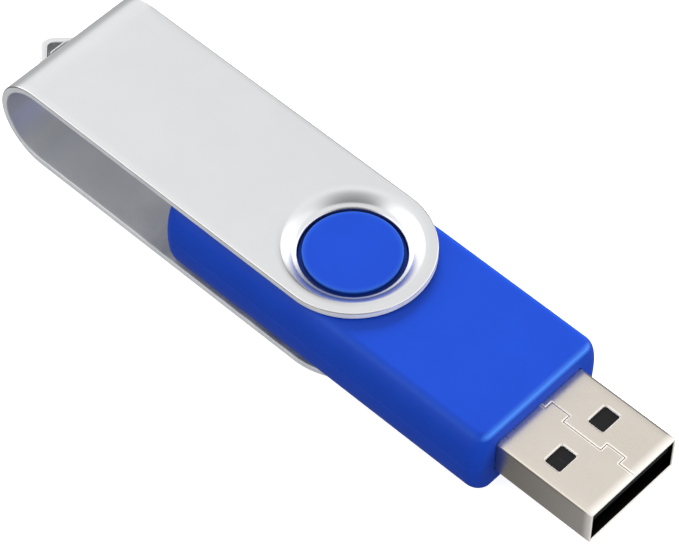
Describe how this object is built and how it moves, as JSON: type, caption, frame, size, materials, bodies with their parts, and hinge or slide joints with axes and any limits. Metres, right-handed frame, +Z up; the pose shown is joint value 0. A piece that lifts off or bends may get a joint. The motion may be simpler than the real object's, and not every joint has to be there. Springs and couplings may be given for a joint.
{
  "type": "usb flash drive",
  "caption": "Swivel-clip USB flash drive with a soft-touch plastic casing, a folded metal clip that turns right round on a pivot, and a standard plug",
  "frame": {"origin": "bottom centre of the whole drive with the clip swung back, on the clip's lower outer face", "axes": "+X towards the mouth of the plug, +Z up out of the upper casing half, along the pivot"},
  "size_m": [0.0784, 0.0178, 0.0106],
  "materials": {
    "casing": "soft-touch matte",
    "clip_steel": "satin",
    "plug_steel": "satin nickel plate",
    "insulator": "matte",
    "contact_gold": "gold plate",
    "board": "solder mask",
    "solder": "soft shine",
    "chip_case": "matte moulded",
    "lead_metal": "tinned",
    "fuse_body": "matte",
    "led_lens": "clear moulded",
    "capacitor_ceramic": "fired ceramic"
  },
  "bodies": {
    "drive": {"upper_shell": "casing", "lower_shell": "casing", "plug_shell": "plug_steel", "plug_insulator": "insulator", "power_contact": "contact_gold", "data_minus_contact": "contact_gold", "data_plus_contact": "contact_gold", "ground_contact": "contact_gold", "circuit_board": "board", "contact_pads": "contact_gold", "solder_joints": "solder", "memory_chip": "chip_case", "memory_leads": "lead_metal", "controller_chip": "chip_case", "controller_leads": "lead_metal", "crystal_can": "lead_metal", "crystal_leads": "contact_gold", "regulator": "chip_case", "regulator_leads": "lead_metal", "surge_protector": "chip_case", "input_fuse": "fuse_body", "status_led": "led_lens", "capacitors": "capacitor_ceramic", "resistors": "chip_case"},
    "clip": {"swivel_clip": "clip_steel"}
  },
  "joints": [
    {"name": "clip_swivel", "type": "hinge", "parent": "drive", "child": "clip", "pos_m": [0.00373, 0, 0.0053], "axis": [0, 0, 1], "continuous": true}
  ]
}
